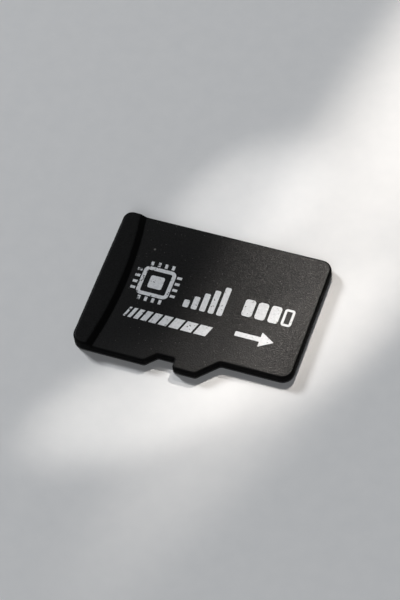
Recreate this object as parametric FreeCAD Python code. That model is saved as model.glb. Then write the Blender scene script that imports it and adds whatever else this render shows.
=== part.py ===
# Miniature flash memory card, lying on its back with the label face up.
# Millimetres. +X is the way the card is pushed into its slot, so the contacts are at
# that end and the grip ridge is at the other. The latch notch is on the -Y side and
# Z is up. The origin is under the middle of the card, on the plane it lies on.
import FreeCAD
import Part
import math
import os

# Card outline, seen from above. Reaches are measured back from the contact end and
# depths inward from the notched side. The tight corner is at the ridge, on the straight side.
CARD_LENGTH = 15.0
CARD_WIDTH = 11.0
CORNER_RADIUS = 0.80
TIGHT_CORNER_RADIUS = 0.62
SHOULDER_REACH = 6.18
SHOULDER_DEPTH = 1.32
SHOULDER_ANGLE = 45.0
SHOULDER_ROOT_RADIUS = 0.40
SHOULDER_TIP_RADIUS = 0.25
TAB_LENGTH = 1.67
NOTCH_FLOOR = 1.20
NOTCH_DEPTH = 0.73
NOTCH_TIP_RADIUS = 0.30
NOTCH_ROOT_RADIUS = 0.12
RAMP_ANGLE = 45.0
RAMP_ROOT_RADIUS = 0.20
RAMP_TIP_RADIUS = 0.30

# Mould body: label face, grip ridge and the round along its upper rim
CARD_THICKNESS = 0.70
RIDGE_RISE = 0.25
RIDGE_REACH = 2.01
RIDGE_SLOPE_RUN = 0.42
RIDGE_CURVE_RADIUS = 30.0
RIDGE_CREST_RADIUS = 0.25
RIDGE_FOOT_RADIUS = 0.10
RIM_RADIUS = 0.17
UPRIGHT_TOLERANCE = 1e-6

# Circuit board
BOARD_THICKNESS = 0.20
BOARD_EDGE_BREAK = 0.05
FOIL_THICKNESS = 0.02

# Contacts on the back: a row that fills the nose between two side margins
CONTACT_COUNT = 8
CONTACT_GAP = 0.30
CONTACT_SIDE_MARGIN = 0.59
CONTACT_LENGTH = 2.90
CONTACT_SETBACK = 1.10
CONTACT_CORNER_RADIUS = 0.10
CONTACT_THICKNESS = 0.03
CONTACT_RECESS = 0.01
SUPPLY_CONTACTS = (4, 6)
SUPPLY_CONTACT_EXTRA = 0.30

# Capacitors and resistors: one row across the nose, in this order from the notched side
PASSIVE_ROW = ("capacitor", "resistor", "capacitor", "capacitor", "resistor", "capacitor")
PASSIVE_END_MARGIN = 0.80
PASSIVE_SIDE_MARGIN = 0.60
CAPACITOR_LENGTH = 1.00
CAPACITOR_WIDTH = 0.50
CAPACITOR_HEIGHT = 0.22
RESISTOR_LENGTH = 0.60
RESISTOR_WIDTH = 0.30
RESISTOR_HEIGHT = 0.20
TERMINATION_LENGTH = 0.15
TERMINATION_THICKNESS = 0.01
LAND_OVERHANG = 0.08

# Dies, each on its film
DIE_THICKNESS = 0.10
FILM_THICKNESS = 0.02
CONTROLLER_LENGTH = 2.20
CONTROLLER_WIDTH = 2.80
FLASH_END_MARGIN = 0.90
FLASH_SIDE_MARGIN = 0.90
FLASH_NOTCH_MARGIN = 0.55

# Bond wires and the fingers that they land on
FLASH_WIRE_COUNT = 16
CONTROLLER_END_WIRE_COUNT = 8
CONTROLLER_SIDE_WIRE_COUNT = 6
WIRE_THICKNESS = 0.025
WIRE_LOOP_RISE = 0.09
WIRE_EDGE_CLEARANCE = 0.06
PAD_INSET = 0.10
PAD_ROW_MARGIN = 0.25
BOND_SPAN = 0.40
FINGER_LENGTH = 0.30
FINGER_WIDTH = 0.15
FINGER_FAN = 0.05
FINGER_ROW_GAP = 0.30

# Places worked out from the sizes above
X_CONTACT_END = CARD_LENGTH / 2
X_RIDGE_END = -CARD_LENGTH / 2
Y_STRAIGHT = CARD_WIDTH / 2
Y_NOTCHED = -CARD_WIDTH / 2
Y_NOSE = Y_NOTCHED + SHOULDER_DEPTH
Y_NOTCH_FLOOR = Y_NOTCHED + NOTCH_DEPTH
NOSE_WIDTH = Y_STRAIGHT - Y_NOSE
NOSE_MIDDLE = (Y_STRAIGHT + Y_NOSE) / 2
RIDGE_TOP = CARD_THICKNESS + RIDGE_RISE
BOARD_TOP = BOARD_THICKNESS
FOIL_TOP = BOARD_TOP + FOIL_THICKNESS
DIE_BOTTOM = BOARD_TOP + FILM_THICKNESS
DIE_TOP = DIE_BOTTOM + DIE_THICKNESS

# The front of each row on the board, from the contact end back to the flash die
PASSIVE_FRONT = X_CONTACT_END - PASSIVE_END_MARGIN
FRONT_FINGERS = PASSIVE_FRONT - CAPACITOR_WIDTH - FINGER_ROW_GAP
CONTROLLER_FRONT = FRONT_FINGERS - FINGER_LENGTH - BOND_SPAN
CONTROLLER_BACK = CONTROLLER_FRONT - CONTROLLER_LENGTH
REAR_FINGERS = CONTROLLER_BACK - BOND_SPAN
FLASH_FINGERS = REAR_FINGERS - FINGER_LENGTH - FINGER_ROW_GAP
FLASH_FRONT = FLASH_FINGERS - FINGER_LENGTH - BOND_SPAN

UP = FreeCAD.Vector(0, 0, 1)


def block(x_range, y_range, z_range):
    """A box between two places on each axis."""
    low, high = (FreeCAD.Vector(*corner) for corner in zip(x_range, y_range, z_range))
    size = high - low
    return Part.makeBox(size.x, size.y, size.z, low)


def rounded_face(corners, z):
    """A flat face at height z, from (x, y, radius) corners taken anticlockwise."""
    points = [FreeCAD.Vector(x, y, z) for x, y, radius in corners]
    starts, middles, ends = [], [], []
    for index, (x, y, radius) in enumerate(corners):
        corner = points[index]
        arriving = (corner - points[index - 1]).normalize()
        leaving = (points[(index + 1) % len(points)] - corner).normalize()
        half_turn = arriving.getAngle(leaving) / 2
        tangent_length = radius * math.tan(half_turn)
        to_centre = (leaving - arriving).normalize()
        starts.append(corner - arriving * tangent_length)
        middles.append(corner + to_centre * (radius / math.cos(half_turn) - radius))
        ends.append(corner + leaving * tangent_length)
    edges = []
    for index in range(len(corners)):
        edges.append(Part.LineSegment(ends[index - 1], starts[index]).toShape())
        edges.append(Part.Arc(starts[index], middles[index], ends[index]).toShape())
    return Part.Face(Part.Wire(edges))


def card_prism(bottom, height):
    """The card's outline, drawn up from a height."""
    shoulder_tip = X_CONTACT_END - SHOULDER_REACH
    shoulder_root = shoulder_tip + SHOULDER_DEPTH / math.tan(math.radians(SHOULDER_ANGLE))
    notch_wall = shoulder_tip - TAB_LENGTH
    ramp_root = notch_wall - NOTCH_FLOOR
    ramp_tip = ramp_root - NOTCH_DEPTH / math.tan(math.radians(RAMP_ANGLE))
    outline = [
        (X_CONTACT_END, Y_STRAIGHT, CORNER_RADIUS),
        (X_RIDGE_END, Y_STRAIGHT, TIGHT_CORNER_RADIUS),
        (X_RIDGE_END, Y_NOTCHED, CORNER_RADIUS),
        (ramp_tip, Y_NOTCHED, RAMP_TIP_RADIUS),
        (ramp_root, Y_NOTCH_FLOOR, RAMP_ROOT_RADIUS),
        (notch_wall, Y_NOTCH_FLOOR, NOTCH_ROOT_RADIUS),
        (notch_wall, Y_NOTCHED, NOTCH_TIP_RADIUS),
        (shoulder_tip, Y_NOTCHED, SHOULDER_TIP_RADIUS),
        (shoulder_root, Y_NOSE, SHOULDER_ROOT_RADIUS),
        (X_CONTACT_END, Y_NOSE, CORNER_RADIUS),
    ]
    return rounded_face(outline, bottom).extrude(UP * height)


def space_over_card():
    """What is cleared above the ridge, its slope and the label face, as one turned cut."""
    foot = X_RIDGE_END + RIDGE_REACH
    crest = foot - RIDGE_SLOPE_RUN
    axis_x = foot - RIDGE_CURVE_RADIUS
    clear_top = RIDGE_TOP + RIDGE_RISE
    half_turn = math.atan2(RIDGE_RISE, RIDGE_SLOPE_RUN) / 2
    slope = FreeCAD.Vector(RIDGE_SLOPE_RUN, 0, -RIDGE_RISE).normalize()
    along = FreeCAD.Vector(1, 0, 0)

    crest_point = FreeCAD.Vector(crest, 0, RIDGE_TOP)
    crest_tangent = RIDGE_CREST_RADIUS * math.tan(half_turn)
    crest_sag = RIDGE_CREST_RADIUS / math.cos(half_turn) - RIDGE_CREST_RADIUS
    crest_middle = crest_point + (slope - along).normalize() * crest_sag
    foot_point = FreeCAD.Vector(foot, 0, CARD_THICKNESS)
    foot_tangent = RIDGE_FOOT_RADIUS * math.tan(half_turn)
    foot_sag = RIDGE_FOOT_RADIUS / math.cos(half_turn) - RIDGE_FOOT_RADIUS
    foot_middle = foot_point + (along - slope).normalize() * foot_sag

    crest_start = crest_point - along * crest_tangent
    crest_end = crest_point + slope * crest_tangent
    foot_start = foot_point - slope * foot_tangent
    foot_end = foot_point + along * foot_tangent
    inner_end = X_RIDGE_END - CARD_WIDTH / 2
    outer_end = X_CONTACT_END + CARD_WIDTH / 2
    bottom_inner = FreeCAD.Vector(inner_end, 0, RIDGE_TOP)
    bottom_outer = FreeCAD.Vector(outer_end, 0, CARD_THICKNESS)
    top_outer = FreeCAD.Vector(outer_end, 0, clear_top)
    top_inner = FreeCAD.Vector(inner_end, 0, clear_top)
    profile = Part.Wire([
        Part.LineSegment(bottom_inner, crest_start).toShape(),
        Part.Arc(crest_start, crest_middle, crest_end).toShape(),
        Part.LineSegment(crest_end, foot_start).toShape(),
        Part.Arc(foot_start, foot_middle, foot_end).toShape(),
        Part.LineSegment(foot_end, bottom_outer).toShape(),
        Part.LineSegment(bottom_outer, top_outer).toShape(),
        Part.LineSegment(top_outer, top_inner).toShape(),
        Part.LineSegment(top_inner, bottom_inner).toShape(),
    ])
    half_sweep = math.degrees(math.atan2(CARD_WIDTH, X_RIDGE_END - axis_x))
    axis = FreeCAD.Vector(axis_x, 0, 0)
    face = Part.Face(profile)
    face.rotate(axis, UP, -half_sweep)
    return face.revolve(axis, UP, 2 * half_sweep)


def rim_edges(shape):
    """The edges along which the outer wall meets the faces on top."""
    half_way_up = (BOARD_TOP + CARD_THICKNESS) / 2
    edges = []
    for face in shape.Faces:
        u_min, u_max, v_min, v_max = face.ParameterRange
        normal = face.normalAt((u_min + u_max) / 2, (v_min + v_max) / 2)
        if abs(normal.z) < UPRIGHT_TOLERANCE:
            edges += [edge for edge in face.Edges if edge.BoundBox.ZMin > half_way_up]
    return edges


def mould_blank():
    """The moulded body before the parts inside take their room."""
    blank = card_prism(BOARD_TOP, RIDGE_TOP + RIDGE_RISE / 2 - BOARD_TOP)
    shaped = blank.cut(space_over_card())
    return shaped.makeFillet(RIM_RADIUS, rim_edges(shaped))


def contact_faces():
    """The outline of each contact, on the bottom of its pocket, from the notched side."""
    gaps = CONTACT_GAP * (CONTACT_COUNT - 1)
    width = (NOSE_WIDTH - 2 * CONTACT_SIDE_MARGIN - gaps) / CONTACT_COUNT
    back = X_CONTACT_END - CONTACT_SETBACK - CONTACT_LENGTH
    faces = []
    for number in range(1, CONTACT_COUNT + 1):
        extra = SUPPLY_CONTACT_EXTRA if number in SUPPLY_CONTACTS else 0
        front = X_CONTACT_END - CONTACT_SETBACK + extra
        low = Y_NOSE + CONTACT_SIDE_MARGIN + (number - 1) * (width + CONTACT_GAP)
        high = low + width
        corners = [(back, low), (front, low), (front, high), (back, high)]
        outline = [(x, y, CONTACT_CORNER_RADIUS) for x, y in corners]
        faces.append(rounded_face(outline, CONTACT_RECESS))
    return faces


def circuit_board(contacts):
    """The laminate board with a pocket on its back for each contact."""
    board = card_prism(0, BOARD_THICKNESS)
    bottom_edges = [edge for edge in board.Edges if edge.BoundBox.ZMax < BOARD_TOP / 2]
    board = board.makeChamfer(BOARD_EDGE_BREAK, bottom_edges)
    pocket_depth = CONTACT_RECESS + CONTACT_THICKNESS
    for contact in contacts:
        mouth = contact.translated(-UP * CONTACT_RECESS)
        board = board.cut(mouth.extrude(UP * pocket_depth))
    return board


def passive(length, width, height, front, low):
    """A chip part with a termination at each end, lying across the card on its lands."""
    step = TERMINATION_THICKNESS
    x_range = (front - width, front)
    z_range = (FOIL_TOP, FOIL_TOP + height)
    chip = block((x_range[0] + step, x_range[1] - step), (low, low + length),
                 (z_range[0] + step, z_range[1] - step))
    ends = [(low, low + TERMINATION_LENGTH), (low + length - TERMINATION_LENGTH, low + length)]
    for y_range in ends:
        chip = chip.fuse(block(x_range, y_range, z_range))
    lands = [
        block(x_range, (low - LAND_OVERHANG, ends[0][1]), (BOARD_TOP, FOIL_TOP)),
        block(x_range, (ends[1][0], ends[1][1] + LAND_OVERHANG), (BOARD_TOP, FOIL_TOP)),
    ]
    return chip.removeSplitter(), lands


def passive_row():
    """The capacitors and resistors by name, and all the lands under them."""
    sizes = {
        "capacitor": (CAPACITOR_LENGTH, CAPACITOR_WIDTH, CAPACITOR_HEIGHT),
        "resistor": (RESISTOR_LENGTH, RESISTOR_WIDTH, RESISTOR_HEIGHT),
    }
    row_length = sum(sizes[kind][0] for kind in PASSIVE_ROW)
    free_length = NOSE_WIDTH - 2 * PASSIVE_SIDE_MARGIN - row_length
    spacing = free_length / (len(PASSIVE_ROW) - 1)
    chips, all_lands = {}, []
    low = Y_NOSE + PASSIVE_SIDE_MARGIN
    for place, kind in enumerate(PASSIVE_ROW):
        number = PASSIVE_ROW[:place + 1].count(kind)
        chip, lands = passive(*sizes[kind], PASSIVE_FRONT, low)
        chips[f"{kind}_{number}"] = chip
        all_lands += lands
        low += sizes[kind][0] + spacing
    return chips, all_lands


def die_on_film(x_range, y_range):
    """A die and the film of the same outline that glues it to the board."""
    film = block(x_range, y_range, (BOARD_TOP, DIE_BOTTOM))
    die = block(x_range, y_range, (DIE_BOTTOM, DIE_TOP))
    return die, film


def bond_wire(pad, finger):
    """A wire that rises from a die, runs past its edge and drops to a finger."""
    half = WIRE_THICKNESS / 2
    level = FreeCAD.Vector(finger.x - pad.x, finger.y - pad.y, 0)
    span = level.Length
    along = level.normalize()
    across = UP.cross(along)
    top = WIRE_LOOP_RISE
    flat_end = PAD_INSET + WIRE_EDGE_CLEARANCE
    drop = finger.z - pad.z
    side = [
        (-half, 0), (half, 0), (half, top - WIRE_THICKNESS), (flat_end - half, top - WIRE_THICKNESS),
        (span - half, drop), (span + half, drop), (flat_end + half, top), (-half, top),
    ]
    points = [pad + along * run + UP * rise - across * half for run, rise in side]
    return Part.Face(Part.makePolygon(points + points[:1])).extrude(across * WIRE_THICKNESS)


def bonded_edge(edge_middle, outward, edge_length, count):
    """The wires and fingers along one edge of a die.

    The edge is given by its middle, on top of the die, the direction that faces away
    from the die, and its length.
    """
    sideways = UP.cross(outward)
    pad_pitch = (edge_length - 2 * PAD_ROW_MARGIN) / (count - 1)
    wires, fingers = [], []
    for index in range(count):
        place = index - (count - 1) / 2
        pad = edge_middle - outward * PAD_INSET + sideways * (place * pad_pitch)
        reach = BOND_SPAN + FINGER_LENGTH / 2
        finger = edge_middle + outward * reach + sideways * (place * (pad_pitch + FINGER_FAN))
        finger.z = FOIL_TOP
        wires.append(bond_wire(pad, finger))
        half_size = outward * (FINGER_LENGTH / 2) + sideways * (FINGER_WIDTH / 2)
        half_x, half_y = abs(half_size.x), abs(half_size.y)
        fingers.append(block((finger.x - half_x, finger.x + half_x),
                             (finger.y - half_y, finger.y + half_y), (BOARD_TOP, FOIL_TOP)))
    return wires, fingers


def build():
    """Every piece of the card by its node name."""
    nodes = {}
    contacts = contact_faces()
    nodes["circuit_board"] = circuit_board(contacts)

    inside, lands = passive_row()
    flash_low = Y_NOTCH_FLOOR + FLASH_NOTCH_MARGIN
    flash_high = Y_STRAIGHT - FLASH_SIDE_MARGIN
    flash_x = (X_RIDGE_END + FLASH_END_MARGIN, FLASH_FRONT)
    controller_x = (CONTROLLER_BACK, CONTROLLER_FRONT)
    controller_y = (NOSE_MIDDLE - CONTROLLER_WIDTH / 2, NOSE_MIDDLE + CONTROLLER_WIDTH / 2)
    inside["flash_die"], inside["flash_die_film"] = die_on_film(flash_x, (flash_low, flash_high))
    inside["controller_die"], inside["controller_die_film"] = die_on_film(controller_x, controller_y)

    flash_edge = FreeCAD.Vector(FLASH_FRONT, (flash_low + flash_high) / 2, DIE_TOP)
    along = FreeCAD.Vector(1, 0, 0)
    across = FreeCAD.Vector(0, 1, 0)
    flash_wires, fingers = bonded_edge(flash_edge, along, flash_high - flash_low, FLASH_WIRE_COUNT)
    controller_middle = FreeCAD.Vector(sum(controller_x) / 2, NOSE_MIDDLE, DIE_TOP)
    controller_wires = []
    for outward, reach, length, count in (
        (along, CONTROLLER_LENGTH / 2, CONTROLLER_WIDTH, CONTROLLER_END_WIRE_COUNT),
        (-along, CONTROLLER_LENGTH / 2, CONTROLLER_WIDTH, CONTROLLER_END_WIRE_COUNT),
        (across, CONTROLLER_WIDTH / 2, CONTROLLER_LENGTH, CONTROLLER_SIDE_WIRE_COUNT),
        (-across, CONTROLLER_WIDTH / 2, CONTROLLER_LENGTH, CONTROLLER_SIDE_WIRE_COUNT),
    ):
        edge = controller_middle + outward * reach
        edge_wires, edge_fingers = bonded_edge(edge, outward, length, count)
        controller_wires += edge_wires
        fingers += edge_fingers
    inside["flash_bond_wires"] = Part.makeCompound(flash_wires)
    inside["controller_bond_wires"] = Part.makeCompound(controller_wires)
    inside["bond_fingers"] = Part.makeCompound(fingers)
    inside["solder_lands"] = Part.makeCompound(lands)

    room = [solid for shape in inside.values() for solid in shape.Solids]
    nodes["mould_body"] = mould_blank().cut(room)
    for number, contact in enumerate(contacts, start=1):
        nodes[f"contact_{number}"] = contact.extrude(UP * CONTACT_THICKNESS)
    nodes.update(inside)
    return nodes


os.makedirs("parts", exist_ok=True)
for name, shape in build().items():
    shape.exportStep(f"parts/{name}.step")
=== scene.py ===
"""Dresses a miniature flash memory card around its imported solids.

Metres, in the frame of the solids: +X is the way the card is pushed into its slot, the
latch notch is on the -Y side, and Z is up from the surface that the card lies on.
"""
import logging
import math
from dataclasses import dataclass
from enum import Enum
from typing import Any, ClassVar, Iterable, Iterator, Optional, Sequence

import bmesh
import bpy
from mathutils import Matrix, Vector


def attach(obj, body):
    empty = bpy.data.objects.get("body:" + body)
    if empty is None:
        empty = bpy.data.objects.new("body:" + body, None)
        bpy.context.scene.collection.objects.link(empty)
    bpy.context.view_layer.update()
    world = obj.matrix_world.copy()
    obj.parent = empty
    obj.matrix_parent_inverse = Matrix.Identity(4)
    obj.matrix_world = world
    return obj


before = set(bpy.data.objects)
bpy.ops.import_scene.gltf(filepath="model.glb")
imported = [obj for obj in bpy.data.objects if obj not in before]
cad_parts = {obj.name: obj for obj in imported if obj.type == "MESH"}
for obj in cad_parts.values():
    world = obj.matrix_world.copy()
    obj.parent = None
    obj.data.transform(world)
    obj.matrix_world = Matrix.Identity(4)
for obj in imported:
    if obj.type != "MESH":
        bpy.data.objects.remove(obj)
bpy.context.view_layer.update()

Colour = tuple[float, float, float]
Point = tuple[float, float, float]
Place = tuple[float, float]
Span = tuple[float, float]

MM = 0.001
BODY = "root"
ORIGIN: Point = (0.0, 0.0, 0.0)
RISE: Span = (0.0, 1.0)
FALL: Span = (1.0, 0.0)
# Where most values of a noise lie.
NOISE_SPAN: Span = (0.3, 0.7)
FINE_DETAIL = 3.0
RANGE_SOCKETS = ("From Min", "From Max", "To Min", "To Max")
# Colour sockets of the mix node, whose names its other data types share.
MIX_LOW, MIX_HIGH, MIX_RESULT = 6, 7, 2
CORNER_SEGMENTS = 5
log = logging.getLogger("memory_card")


class Slot(Enum):
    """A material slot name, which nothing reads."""

    INK = "label_ink"


class Axis(Enum):
    """Parts of a vector."""

    X = "X"
    Z = "Z"


class Maths(Enum):
    """Operations of the math node."""

    ADD = "ADD"
    SUBTRACT = "SUBTRACT"
    MULTIPLY = "MULTIPLY"
    MULTIPLY_ADD = "MULTIPLY_ADD"
    MAXIMUM = "MAXIMUM"


class Sheet:
    """A new material and short calls for the nodes that the finishes share."""

    def __init__(self, name: str) -> None:
        """Starts a material with its output, a principled shader and object coordinates.

        Args:
            name: the material's name.
        """
        self.material = bpy.data.materials.new(name)
        self.material.use_nodes = True
        self.tree = self.material.node_tree
        self.shader = next(n for n in self.tree.nodes if n.type == "BSDF_PRINCIPLED")
        self.place = self.node("ShaderNodeTexCoord").outputs["Object"]

    def node(self, kind: str, **settings: Any) -> bpy.types.Node:
        """Adds a node.

        Args:
            kind: the node's type name.
            settings: properties of the node.

        Returns:
            The new node.
        """
        made = self.tree.nodes.new(kind)
        for key, value in settings.items():
            setattr(made, key, value)
        return made

    def put(self, target: bpy.types.NodeSocket, value: Any) -> None:
        """Links a socket to a target, or sets the target's own value.

        Args:
            target: an input socket.
            value: an output socket, a number or a colour.
        """
        if isinstance(value, bpy.types.NodeSocket):
            self.tree.links.new(value, target)
        elif target.type == "RGBA":
            target.default_value = (*value, 1.0)
        else:
            target.default_value = value

    def set(self, **inputs: Any) -> None:
        """Sets inputs of the principled shader by name, with _ for a space."""
        for key, value in inputs.items():
            self.put(self.shader.inputs[key.replace("_", " ")], value)

    def stretched(self, scale: Point) -> bpy.types.NodeSocket:
        """Object coordinates, scaled along each axis.

        Args:
            scale: factors along X, Y and Z.

        Returns:
            The scaled coordinates.
        """
        mapping = self.node("ShaderNodeMapping")
        self.put(mapping.inputs["Vector"], self.place)
        self.put(mapping.inputs["Scale"], scale)
        return mapping.outputs["Vector"]

    def noise(self, grain: float, detail: float = 2.0, roughness: float = 0.5,
              vector: Optional[bpy.types.NodeSocket] = None) -> bpy.types.NodeSocket:
        """Noise on object coordinates.

        Args:
            grain: size of the largest features, in metres.
            detail: octaves of finer noise.
            roughness: strength of the finer noise.
            vector: other coordinates to read.

        Returns:
            The noise value, about 0.5.
        """
        texture = self.node("ShaderNodeTexNoise")
        self.put(texture.inputs["Vector"], vector or self.place)
        self.put(texture.inputs["Scale"], 1.0 / grain)
        self.put(texture.inputs["Detail"], detail)
        self.put(texture.inputs["Roughness"], roughness)
        return texture.outputs["Fac"]

    def dots(self, spacing: float, radius: float, core: float) -> bpy.types.NodeSocket:
        """Scattered dots with soft edges.

        Args:
            spacing: mean distance between them, in metres.
            radius: where a dot ends, in spacings.
            core: share of the radius that is full.

        Returns:
            1 in a dot and 0 around it.
        """
        texture = self.node("ShaderNodeTexVoronoi")
        self.put(texture.inputs["Vector"], self.place)
        self.put(texture.inputs["Scale"], 1.0 / spacing)
        return self.remap(texture.outputs["Distance"], (radius * core, radius), FALL)

    def spot(self, centre: Point, radius: float, core: float) -> bpy.types.NodeSocket:
        """A round spot with a soft edge.

        Args:
            centre: its middle, in object coordinates.
            radius: where it ends, in metres.
            core: share of the radius that is full.

        Returns:
            1 in the spot and 0 around it.
        """
        away = self.node("ShaderNodeVectorMath", operation="DISTANCE")
        self.put(away.inputs[0], self.place)
        self.put(away.inputs[1], centre)
        return self.remap(away.outputs["Value"], (radius * core, radius), FALL)

    def remap(self, value: bpy.types.NodeSocket, given: Span, wanted: Span,
              smooth: bool = False) -> bpy.types.NodeSocket:
        """Maps a range of values to another, clamped.

        Args:
            value: the value to map.
            given: the range that it comes in.
            wanted: what that range becomes.
            smooth: eases both ends.

        Returns:
            The mapped value.
        """
        mapped = self.node("ShaderNodeMapRange")
        if smooth:
            mapped.interpolation_type = "SMOOTHSTEP"
        self.put(mapped.inputs["Value"], value)
        for key, number in zip(RANGE_SOCKETS, given + wanted):
            self.put(mapped.inputs[key], number)
        return mapped.outputs["Result"]

    def calc(self, operation: Maths, *values: Any) -> bpy.types.NodeSocket:
        """Works out a value from two or three others.

        Args:
            operation: what is done to them.
            values: sockets or numbers.

        Returns:
            The result.
        """
        made = self.node("ShaderNodeMath", operation=operation.value)
        for target, value in zip(made.inputs, values):
            self.put(target, value)
        return made.outputs["Value"]

    def blend(self, factor: bpy.types.NodeSocket, low: Any, high: Any) -> bpy.types.NodeSocket:
        """Mixes two colours.

        Args:
            factor: 0 gives the first colour and 1 the second.
            low: first colour, or a colour socket.
            high: second colour, or a colour socket.

        Returns:
            The mixed colour.
        """
        made = self.node("ShaderNodeMix", data_type="RGBA")
        self.put(made.inputs["Factor"], factor)
        self.put(made.inputs[MIX_LOW], low)
        self.put(made.inputs[MIX_HIGH], high)
        return made.outputs[MIX_RESULT]

    def bump(self, height: bpy.types.NodeSocket, depth: float, strength: Any) -> None:
        """Gives the shader a relief.

        Args:
            height: the relief, from 0 to 1.
            depth: what 1 stands for, in metres.
            strength: share of the relief that shows.
        """
        made = self.node("ShaderNodeBump")
        self.put(made.inputs["Distance"], depth)
        self.put(made.inputs["Strength"], strength)
        self.put(made.inputs["Height"], height)
        self.put(self.shader.inputs["Normal"], made.outputs["Normal"])

    def part(self, vector: bpy.types.NodeSocket, axis: Axis) -> bpy.types.NodeSocket:
        """Takes one part out of a vector.

        Args:
            vector: the vector.
            axis: which part.

        Returns:
            That part.
        """
        split = self.node("ShaderNodeSeparateXYZ")
        self.put(split.inputs["Vector"], vector)
        return split.outputs[axis.value]

    def along(self, axis: Axis) -> bpy.types.NodeSocket:
        """The place along one axis of the object, in metres."""
        return self.part(self.place, axis)

    def facing_up(self) -> bpy.types.NodeSocket:
        """The upward part of the surface normal."""
        return self.part(self.node("ShaderNodeNewGeometry").outputs["Normal"], Axis.Z)


@dataclass(frozen=True)
class MouldCompound:
    """Black mould compound: an eroded grain on the label face, smoother ridge and walls, a
    painted shade on the walls and the ridge's slope, and painted sparkle glints on the label
    face.
    """

    # Painted shade: the darker base colour of the walls and of the ridge's slope, every face that
    # does not face up.
    painted_wall_shade: Colour = (0.0014, 0.0014, 0.0015)
    dark: Colour = (0.0025, 0.0025, 0.0026)
    pale: Colour = (0.0110, 0.0111, 0.0113)
    # Pale tone of the painted sparkle glints on the label face, and of the one dust fleck.
    sparkle_and_dust_tone: Colour = (0.12, 0.115, 0.11)
    grain: float = 0.085 * MM
    grain_detail: float = 1.0
    # Spacing and size of the painted sparkle glints.
    sparkle_spacing: float = 0.30 * MM
    sparkle_radius: float = 0.10
    sparkle_core: float = 0.4
    fleck_place: Point = (-4.55 * MM, 3.08 * MM, 0.7 * MM)
    fleck_radius: float = 0.10 * MM
    fleck_core: float = 0.5
    wall_to_flat: Span = (0.90, 0.995)
    label_height: float = 0.74 * MM
    ridge_height: float = 0.80 * MM
    label_roughness: float = 0.415
    label_wobble: float = 0.14
    ridge_roughness: float = 0.35
    wall_roughness: float = 0.95
    specular: float = 0.13
    relief: float = 0.012 * MM
    relief_shown: Span = (0.15, 1.0)

    def material(self) -> bpy.types.Material:
        """Lays the grain, painted sparkle glints and a dust fleck on the label face, and a
        painted shade on every face that does not face up.

        Returns:
            The finish as a material.
        """
        sheet = Sheet("black_mould_compound")
        grain = sheet.noise(self.grain, self.grain_detail)
        flat = sheet.remap(sheet.facing_up(), self.wall_to_flat, RISE, smooth=True)
        low = sheet.remap(sheet.along(Axis.Z), (self.label_height, self.ridge_height), FALL)
        label = sheet.calc(Maths.MULTIPLY, flat, low)
        top = sheet.blend(sheet.remap(grain, NOISE_SPAN, RISE), self.dark, self.pale)
        # Painted shade: faces that do not face up, the walls and the ridge's slope, take the
        # darker wall colour.
        base = sheet.blend(flat, self.painted_wall_shade, top)
        # Painted glints: bright dots that stand in for the sparkle of filler grains.
        dots = sheet.dots(self.sparkle_spacing, self.sparkle_radius, self.sparkle_core)
        fleck = sheet.spot(self.fleck_place, self.fleck_radius, self.fleck_core)
        # Painted sparkle glints on the label face, joined with one real dust fleck.
        sparkles_and_dust = sheet.calc(Maths.MAXIMUM, sheet.calc(Maths.MULTIPLY, dots, label), fleck)
        top_roughness = sheet.remap(low, RISE, (self.ridge_roughness, self.label_roughness))
        gloss = sheet.calc(Maths.SUBTRACT, top_roughness, self.wall_roughness)
        rough = sheet.calc(Maths.MULTIPLY_ADD, flat, gloss, self.wall_roughness)
        swing = sheet.remap(grain, NOISE_SPAN, (self.label_wobble, -self.label_wobble))
        wobble = sheet.calc(Maths.MULTIPLY, label, swing)
        sheet.set(Base_Color=sheet.blend(sparkles_and_dust, base, self.sparkle_and_dust_tone),
                  Roughness=sheet.calc(Maths.ADD, rough, wobble),
                  Specular_IOR_Level=self.specular)
        sheet.bump(grain, self.relief, sheet.remap(label, RISE, self.relief_shown))
        return sheet.material


@dataclass(frozen=True)
class PlainFinish:
    """Two tones in one grain, with a gloss and a faint relief."""

    name: str
    dark: Colour
    pale: Colour
    grain: float
    roughness: Span
    metallic: float = 0.0
    relief: float = 0.002 * MM
    relief_shown: float = 0.3

    def material(self) -> bpy.types.Material:
        """Lays tone, gloss and relief on the grain.

        Returns:
            The finish as a material.
        """
        sheet = Sheet(self.name)
        grain = sheet.noise(self.grain, FINE_DETAIL)
        sheet.set(Base_Color=sheet.blend(grain, self.dark, self.pale), Metallic=self.metallic,
                  Roughness=sheet.remap(grain, NOISE_SPAN, self.roughness))
        sheet.bump(grain, self.relief, self.relief_shown)
        return sheet.material


@dataclass(frozen=True)
class Plating:
    """Gold plating, with wipe marks along the way the card slides."""

    name: str
    tone: Colour = (0.86, 0.60, 0.25)
    worn: Colour = (0.78, 0.52, 0.22)
    wipes_per_metre: Point = (400.0, 14000.0, 14000.0)
    cloud: float = 0.5 * MM
    roughness: Span = (0.2, 0.34)
    relief: float = 0.002 * MM
    relief_shown: float = 0.3

    def material(self) -> bpy.types.Material:
        """Clouds the gold and draws the wipe marks.

        Returns:
            The finish as a material.
        """
        sheet = Sheet(self.name)
        wipe = sheet.noise(1.0, vector=sheet.stretched(self.wipes_per_metre))
        cloud = sheet.noise(self.cloud, FINE_DETAIL)
        sheet.set(Base_Color=sheet.blend(cloud, self.worn, self.tone), Metallic=1.0,
                  Roughness=sheet.remap(wipe, NOISE_SPAN, self.roughness))
        sheet.bump(wipe, self.relief, self.relief_shown)
        return sheet.material


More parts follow.
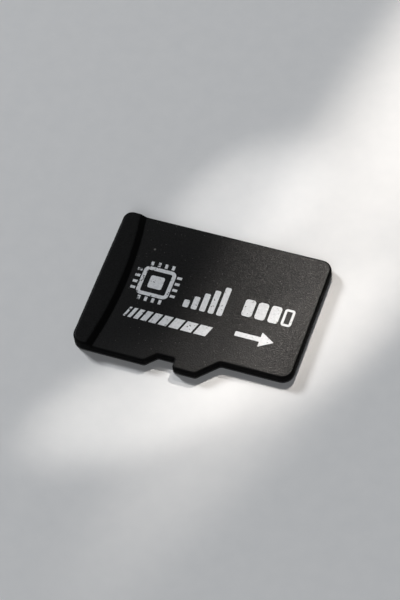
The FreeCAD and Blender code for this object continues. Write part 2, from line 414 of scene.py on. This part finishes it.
@dataclass(frozen=True)
class PrintInk:
    """Silvery white ink, mottled, with pinholes, and chipped towards the ridge."""

    dark: Colour = (0.60, 0.61, 0.625)
    pale: Colour = (0.73, 0.74, 0.755)
    bare: Colour = (0.03, 0.03, 0.031)
    mottle: float = 0.16 * MM
    mottle_harshness: float = 0.6
    tone_span: Span = (0.35, 0.65)
    pinhole_spacing: float = 0.5 * MM
    pinhole_radius: float = 0.07
    pinhole_core: float = 0.5
    chip: float = 0.2 * MM
    chip_span: Span = (0.66, 0.70)
    chip_share: float = 0.85
    worn_from: float = -4.95 * MM
    worn_to: float = -3.2 * MM
    wear: float = 0.11
    roughness: Span = (0.38, 0.55)
    relief: float = 0.006 * MM
    relief_shown: float = 0.4

    def material(self) -> bpy.types.Material:
        """Mottles the ink and lets the compound show through its holes and chips.

        Returns:
            The finish as a material.
        """
        sheet = Sheet("label_ink")
        mottle = sheet.noise(self.mottle, FINE_DETAIL, self.mottle_harshness)
        ink = sheet.blend(sheet.remap(mottle, self.tone_span, RISE), self.dark, self.pale)
        holes = sheet.dots(self.pinhole_spacing, self.pinhole_radius, self.pinhole_core)
        wear = sheet.remap(sheet.along(Axis.X), (self.worn_from, self.worn_to), (self.wear, 0.0))
        worn = sheet.calc(Maths.ADD, sheet.noise(self.chip), wear)
        chips = sheet.remap(worn, self.chip_span, (0.0, self.chip_share))
        gone = sheet.calc(Maths.MAXIMUM, holes, chips)
        sheet.set(Base_Color=sheet.blend(gone, ink, self.bare),
                  Roughness=sheet.remap(mottle, NOISE_SPAN, self.roughness))
        sheet.bump(mottle, self.relief, self.relief_shown)
        return sheet.material


@dataclass(frozen=True)
class TablePaper:
    """Pale matt surface that the card lies on."""

    dark: Colour = (0.74, 0.745, 0.75)
    pale: Colour = (0.80, 0.80, 0.80)
    tooth: float = 1.2 * MM
    tooth_detail: float = 4.0
    roughness: float = 0.7
    specular: float = 0.2
    relief: float = 0.01 * MM
    relief_shown: float = 0.2

    def material(self) -> bpy.types.Material:
        """Gives the paper its tooth.

        Returns:
            The finish as a material.
        """
        sheet = Sheet("pale_table")
        tooth = sheet.noise(self.tooth, self.tooth_detail)
        sheet.set(Base_Color=sheet.blend(tooth, self.dark, self.pale), Roughness=self.roughness,
                  Specular_IOR_Level=self.specular)
        sheet.bump(tooth, self.relief, self.relief_shown)
        return sheet.material


def dress(names: Iterable[str], material: bpy.types.Material) -> None:
    """Gives CAD nodes a material.

    Args:
        names: the nodes.
        material: their finish.
    """
    for name in names:
        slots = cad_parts[name].data.materials
        slots.clear()
        slots.append(material)
        log.info("dressed %s", name)


def numbered(name: str, count: int) -> Iterator[str]:
    """The node names of a repeated piece, in order, numbered from 1."""
    return (f"{name}_{number}" for number in range(1, count + 1))


def show(name: str, data: bpy.types.ID) -> bpy.types.Object:
    """Puts a mesh, a lamp or a camera in the scene.

    Args:
        name: the object's name.
        data: what it shows.

    Returns:
        The new object.
    """
    shown = bpy.data.objects.new(name, data)
    bpy.context.scene.collection.objects.link(shown)
    return shown


@dataclass
class MouldedBody:
    """The moulded body with its grip ridge."""

    finish: MouldCompound = MouldCompound()

    def build(self) -> None:
        """Dresses the body."""
        dress(["mould_body"], self.finish.material())


@dataclass
class BoardSide:
    """The board and the contacts on its back."""

    contact_count: int = 8
    mask: PlainFinish = PlainFinish(
        name="black_board_mask", dark=(0.008, 0.0085, 0.0088), pale=(0.016, 0.0165, 0.017),
        grain=0.25 * MM, roughness=(0.34, 0.44), relief=0.006 * MM, relief_shown=0.35)
    plating: Plating = Plating(name="contact_gold")

    def build(self) -> None:
        """Dresses the board and its contacts."""
        dress(["circuit_board"], self.mask.material())
        dress(numbered("contact", self.contact_count), self.plating.material())


@dataclass
class InnerParts:
    """The dies, wires and chip parts sealed in the compound."""

    capacitor_count: int = 4
    resistor_count: int = 2
    silicon: PlainFinish = PlainFinish(
        name="polished_silicon", dark=(0.20, 0.21, 0.24), pale=(0.30, 0.31, 0.34),
        grain=0.6 * MM, roughness=(0.18, 0.26), metallic=0.8)
    film: PlainFinish = PlainFinish(
        name="die_film", dark=(0.50, 0.42, 0.26), pale=(0.62, 0.54, 0.38),
        grain=0.3 * MM, roughness=(0.5, 0.6))
    ceramic: PlainFinish = PlainFinish(
        name="capacitor_ceramic", dark=(0.42, 0.30, 0.20), pale=(0.55, 0.42, 0.30),
        grain=0.08 * MM, roughness=(0.45, 0.6))
    glaze: PlainFinish = PlainFinish(
        name="resistor_glaze", dark=(0.02, 0.02, 0.022), pale=(0.04, 0.04, 0.045),
        grain=0.08 * MM, roughness=(0.2, 0.3))
    foil: Plating = Plating(name="plated_foil")
    wire: Plating = Plating(name="bond_gold", cloud=0.05 * MM)

    def build(self) -> None:
        """Dresses everything inside."""
        dress(["flash_die", "controller_die"], self.silicon.material())
        dress(["flash_die_film", "controller_die_film"], self.film.material())
        dress(numbered("capacitor", self.capacitor_count), self.ceramic.material())
        dress(numbered("resistor", self.resistor_count), self.glaze.material())
        dress(["bond_fingers", "solder_lands"], self.foil.material())
        dress(["flash_bond_wires", "controller_bond_wires"], self.wire.material())


class Drawing:
    """A flat drawing on the label face that becomes a film of ink."""

    def __init__(self, level: float) -> None:
        """Starts an empty drawing, with level as the height of the ink's underside."""
        self.shape = bmesh.new()
        self.level = level

    def bar(self, centre: Place, size: Place, corner: float = 0.0,
            lean: float = 0.0) -> bmesh.types.BMFace:
        """Draws a bar.

        Args:
            centre: its middle.
            size: its length along X and Y.
            corner: radius of its corners.
            lean: how far along X it leans for each length along Y.

        Returns:
            The bar's face.
        """
        known = set(self.shape.faces)
        slant = Matrix.Identity(4)
        slant[0][1] = lean
        spread = slant @ Matrix.Diagonal((*size, 1.0, 1.0))
        place = Matrix.Translation((*centre, self.level)) @ spread
        made = bmesh.ops.create_grid(self.shape, x_segments=1, y_segments=1, size=0.5,
                                     matrix=place)
        if corner > 0.0:
            self.round_off(made["verts"], corner)
        return next(face for face in self.shape.faces if face not in known)

    def outline(self, corners: Sequence[Place], corner: float) -> None:
        """Draws a filled outline.

        Args:
            corners: its corners, anticlockwise.
            corner: their radius.
        """
        points = [self.shape.verts.new((x, y, self.level)) for x, y in corners]
        self.shape.faces.new(points)
        self.round_off(points, corner)

    def round_off(self, points: list[bmesh.types.BMVert], corner: float) -> None:
        """Rounds corners of a drawn face to one radius."""
        bmesh.ops.bevel(self.shape, geom=points, offset=corner, offset_type="OFFSET",
                        affect="VERTICES", segments=CORNER_SEGMENTS, profile=0.5, material=-1)

    def hollow(self, face: bmesh.types.BMFace, width: float) -> None:
        """Leaves only a line along the edge of a face.

        Args:
            face: the face.
            width: the line's width.
        """
        bmesh.ops.inset_region(self.shape, faces=[face], thickness=width, use_boundary=True,
                               use_even_offset=True)
        bmesh.ops.delete(self.shape, geom=[face], context="FACES_ONLY")

    def film(self, name: str, thickness: float) -> bpy.types.Object:
        """Gives the drawing its thickness.

        Args:
            name: the piece's name.
            thickness: height of the ink.

        Returns:
            The piece, in the scene.
        """
        grown = bmesh.ops.extrude_face_region(self.shape, geom=self.shape.faces[:])
        top = [part for part in grown["geom"] if isinstance(part, bmesh.types.BMVert)]
        bmesh.ops.translate(self.shape, vec=(0.0, 0.0, thickness), verts=top)
        bmesh.ops.recalc_face_normals(self.shape, faces=self.shape.faces[:])
        mesh = bpy.data.meshes.new(name)
        self.shape.to_mesh(mesh)
        self.shape.free()
        return show(name, mesh)


@dataclass
class InkMark:
    """One mark of the label print."""

    name: ClassVar[str]
    level: float = 0.698 * MM
    thickness: float = 0.012 * MM

    def draw(self, drawing: Drawing) -> None:
        """Draws the mark flat."""
        raise NotImplementedError

    def build(self, ink: bpy.types.Material) -> None:
        """Prints the mark on the card.

        Args:
            ink: its finish.
        """
        drawing = Drawing(self.level)
        self.draw(drawing)
        piece = drawing.film(self.name, self.thickness)
        piece.data.materials.append(ink)
        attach(piece, BODY)
        log.info("printed %s", self.name)


@dataclass
class ChipMark(InkMark):
    """A chip seen from above: a frame, a core and a row of pins on each side."""

    name = "print_chip"
    centre: Place = (-3.55 * MM, 0.55 * MM)
    side: float = 2.3 * MM
    line: float = 0.27 * MM
    corner: float = 0.38 * MM
    core: float = 1.0 * MM
    core_corner: float = 0.14 * MM
    pin_count: int = 4
    pin_pitch: float = 0.5 * MM
    pin_width: float = 0.2 * MM
    pin_length: float = 0.34 * MM
    pin_gap: float = 0.1 * MM

    def draw(self, drawing: Drawing) -> None:
        """Draws the frame, the core and the pins.

        Args:
            drawing: what they are drawn on.
        """
        x, y = self.centre
        frame_face = drawing.bar(self.centre, (self.side, self.side), self.corner)
        drawing.hollow(frame_face, self.line)
        drawing.bar(self.centre, (self.core, self.core), self.core_corner)
        reach = (self.side + self.pin_length) / 2 + self.pin_gap
        for index in range(self.pin_count):
            step = (index - (self.pin_count - 1) / 2) * self.pin_pitch
            for out in (-reach, reach):
                drawing.bar((x + out, y + step), (self.pin_length, self.pin_width))
                drawing.bar((x + step, y + out), (self.pin_width, self.pin_length))


@dataclass
class GaugeMark(InkMark):
    """A row of bars that grow taller towards the contact end."""

    name = "print_gauge"
    start: Place = (-1.25 * MM, -0.75 * MM)
    count: int = 5
    pitch: float = 0.6 * MM
    width: float = 0.4 * MM
    first_height: float = 0.6 * MM
    rise: float = 0.42 * MM
    corner: float = 0.1 * MM

    def draw(self, drawing: Drawing) -> None:
        """Draws the bars on one base line.

        Args:
            drawing: what they are drawn on.
        """
        x, y = self.start
        for index in range(self.count):
            height = self.first_height + index * self.rise
            centre = (x + self.width / 2 + index * self.pitch, y + height / 2)
            drawing.bar(centre, (self.width, height), self.corner)


@dataclass
class StripeBand(InkMark):
    """A band of leaning stripes that widen towards the contact end."""

    name = "print_stripes"
    start: float = -4.7 * MM
    middle: float = -2.15 * MM
    height: float = 0.8 * MM
    count: int = 9
    first_width: float = 0.16 * MM
    growth: float = 0.085 * MM
    gap: float = 0.17 * MM
    lean: float = 0.36

    def draw(self, drawing: Drawing) -> None:
        """Draws the stripes side by side.

        Args:
            drawing: what they are drawn on.
        """
        left = self.start
        for index in range(self.count):
            width = self.first_width + index * self.growth
            drawing.bar((left + width / 2, self.middle), (width, self.height), lean=self.lean)
            left += width + self.gap


@dataclass
class CellRow(InkMark):
    """Four bold storage cells, of which the last is open."""

    name = "print_cells"
    start: Place = (2.75 * MM, -0.3 * MM)
    count: int = 4
    pitch: float = 0.92 * MM
    size: Place = (0.72 * MM, 1.35 * MM)
    corner: float = 0.2 * MM
    line: float = 0.17 * MM

    def draw(self, drawing: Drawing) -> None:
        """Draws the cells in a row.

        Args:
            drawing: what they are drawn on.
        """
        x, y = self.start
        length, height = self.size
        for index in range(self.count):
            centre = (x + length / 2 + index * self.pitch, y + height / 2)
            cell = drawing.bar(centre, self.size, self.corner)
            if index == self.count - 1:
                drawing.hollow(cell, self.line)


@dataclass
class InsertArrow(InkMark):
    """An arrow with a shaft, pointing the way the card is pushed in."""

    name = "print_arrow"
    tail: Place = (2.85 * MM, -1.75 * MM)
    shaft_length: float = 1.75 * MM
    shaft_width: float = 0.36 * MM
    head_length: float = 0.95 * MM
    head_width: float = 1.15 * MM
    corner: float = 0.06 * MM

    def draw(self, drawing: Drawing) -> None:
        """Draws the shaft and the head as one outline.

        Args:
            drawing: what they are drawn on.
        """
        x, y = self.tail
        neck = x + self.shaft_length
        shaft, head = self.shaft_width / 2, self.head_width / 2
        corners = [(x, y - shaft), (neck, y - shaft), (neck, y - head),
                   (neck + self.head_length, y),
                   (neck, y + head), (neck, y + shaft), (x, y + shaft)]
        drawing.outline(corners, self.corner)


@dataclass
class LabelPrint:
    """The print on the label face: plain marks in one ink."""

    ink: PrintInk = PrintInk()

    def build(self) -> None:
        """Prints every mark."""
        material = self.ink.material()
        for mark in (ChipMark(), GaugeMark(), StripeBand(), CellRow(), InsertArrow()):
            mark.build(material)


@dataclass
class PhotoCamera:
    """A long lens at the photograph's viewing angle. Angles are in degrees."""

    name: ClassVar[str] = "photo_camera"
    aim: Point = (-0.2465 * MM, 0.0773 * MM, 0.6932 * MM)
    distance: float = 159.503 * MM
    azimuth: float = 25.824
    elevation: float = 56.796
    roll: float = -7.887
    focal_pixels: float = 2378.7
    image_height: float = 600.0
    sensor: float = 36.0
    nearest: float = 10.0 * MM

    def build(self) -> None:
        """Makes the camera and hands it to the scene."""
        data = bpy.data.cameras.new(self.name)
        data.sensor_fit = "VERTICAL"
        data.sensor_height = self.sensor
        data.lens = self.focal_pixels * self.sensor / self.image_height
        data.clip_start = self.nearest
        turn = (Matrix.Rotation(math.radians(self.azimuth), 4, "Z")
                @ Matrix.Rotation(math.radians(90.0 - self.elevation), 4, "X")
                @ Matrix.Rotation(math.radians(self.roll), 4, "Z"))
        back = Matrix.Translation((0.0, 0.0, self.distance))
        camera = show(self.name, data)
        camera.matrix_world = Matrix.Translation(self.aim) @ turn @ back
        bpy.context.scene.camera = camera


def facing(place: Point, aim: Point) -> Matrix:
    """The matrix of a lamp that hangs at a place and points at its aim."""
    way = Vector(aim) - Vector(place)
    return Matrix.Translation(place) @ way.to_track_quat("-Z", "Y").to_matrix().to_4x4()


@dataclass(frozen=True)
class SoftLamp:
    """A square soft lamp that faces the card."""

    name: str
    place: Point
    side: float
    watts: float
    colour: Colour

    def build(self) -> None:
        """Hangs the lamp."""
        data = bpy.data.lights.new(self.name, "AREA")
        data.size = self.side
        data.energy = self.watts
        data.color = self.colour
        show(self.name, data).matrix_world = facing(self.place, ORIGIN)


@dataclass(frozen=True)
class PatchLamp:
    """A lamp whose beam fades to its edge, long one way and narrow the other.

    Angles are in degrees.
    """

    name: str
    place: Point
    aim: Point
    long_angle: float
    narrowing: float
    turn: float
    watts: float
    colour: Colour
    radius: float = 1.0 * MM

    def build(self) -> None:
        """Hangs the lamp."""
        data = bpy.data.lights.new(self.name, "SPOT")
        data.energy = self.watts
        data.color = self.colour
        data.spot_size = math.radians(self.long_angle)
        data.spot_blend = 1.0
        data.shadow_soft_size = self.radius
        turn = Matrix.Rotation(math.radians(self.turn), 4, "Z")
        narrow = Matrix.Diagonal((self.narrowing, 1.0, 1.0, 1.0))
        lamp = show(self.name, data)
        lamp.matrix_world = facing(self.place, self.aim) @ turn @ narrow


@dataclass
class Studio:
    """A pale table, lit softly from behind the ridge end and weakly from the front.

    Warm patches of light from behind lie across the card, on its contact end, in front of
    it and behind it.
    """

    floor_size: float = 4.0
    floor_drop: float = 0.02 * MM
    paper: TablePaper = TablePaper()
    soft_fill: SoftLamp = SoftLamp(
        name="soft_fill", place=(-0.91, 0.46, 0.58), side=0.22, watts=11.0,
        colour=(0.96, 0.98, 1.0))
    front_fill: SoftLamp = SoftLamp(
        name="front_fill", place=(0.0, -0.90, 0.75), side=0.6, watts=2.8,
        colour=(0.97, 0.98, 1.0))
    back_patch: PatchLamp = PatchLamp(
        name="back_patch", place=(-0.0994, 0.3838, 0.491), aim=(20.71 * MM, 60.0 * MM, 0.0),
        long_angle=14.33, narrowing=0.1239, turn=-40.2, watts=16.7, colour=(1.0, 0.935, 0.865))
    end_patch: PatchLamp = PatchLamp(
        name="end_patch", place=(-0.1116, 0.3238, 0.491), aim=(8.49 * MM, 0.0, 0.0),
        long_angle=2.241, narrowing=0.3075, turn=-57.4, watts=4.4, colour=(1.0, 0.935, 0.865))
    near_patch: PatchLamp = PatchLamp(
        name="near_patch", place=(0.0585, 0.4485, 0.3845), aim=(-1.50 * MM, -8.30 * MM, 0.0),
        long_angle=1.64, narrowing=0.423, turn=-60.9, watts=9.4, colour=(1.0, 0.955, 0.90))
    far_patch: PatchLamp = PatchLamp(
        name="far_patch", place=(0.2109, 0.4908, 0.289), aim=(0.19 * MM, 9.12 * MM, 0.0),
        long_angle=1.008, narrowing=0.757, turn=-80.4, watts=10.26, colour=(1.0, 0.96, 0.92))
    sky: Colour = (0.80, 0.84, 0.90)
    sky_strength: float = 0.05
    horizon_strength: float = 0.75
    horizon_span: Span = (0.06, 0.20)

    def build(self) -> None:
        """Makes the table, the lamps and the world."""
        self.table()
        for lamp in (self.soft_fill, self.front_fill, self.back_patch, self.end_patch,
                     self.near_patch, self.far_patch):
            lamp.build()
            log.info("hung %s", lamp.name)
        self.world()

    def table(self) -> None:
        """Makes the surface that the card lies on."""
        mesh = bpy.data.meshes.new("table")
        shape = bmesh.new()
        bmesh.ops.create_grid(shape, x_segments=1, y_segments=1, size=self.floor_size / 2,
                              matrix=Matrix.Translation((0.0, 0.0, -self.floor_drop)))
        shape.to_mesh(mesh)
        shape.free()
        mesh.materials.append(self.paper.material())
        table = show("table", mesh)

    def world(self) -> None:
        """Gives the world a dim light from above and a pale horizon."""
        world = bpy.data.worlds.new("studio")
        world.use_nodes = True
        nodes, links = world.node_tree.nodes, world.node_tree.links
        background = next(node for node in nodes if node.type == "BACKGROUND")
        background.inputs["Color"].default_value = (*self.sky, 1.0)
        split = nodes.new("ShaderNodeSeparateXYZ")
        way = nodes.new("ShaderNodeTexCoord").outputs["Generated"]
        links.new(way, split.inputs["Vector"])
        fade = nodes.new("ShaderNodeMapRange")
        links.new(split.outputs["Z"], fade.inputs["Value"])
        strengths = (self.horizon_strength, self.sky_strength)
        for key, number in zip(RANGE_SOCKETS, self.horizon_span + strengths):
            fade.inputs[key].default_value = number
        links.new(fade.outputs["Result"], background.inputs["Strength"])
        bpy.context.scene.world = world


def main() -> None:
    """Builds and dresses the card, then the studio around it."""
    logging.basicConfig(level=logging.INFO, format="%(message)s")
    bpy.context.scene.view_settings.view_transform = "Standard"
    for part in (MouldedBody(), BoardSide(), InnerParts(), LabelPrint(), Studio(), PhotoCamera()):
        part.build()
        log.info("built %s", type(part).__name__)


if __name__ == "__main__":
    main()
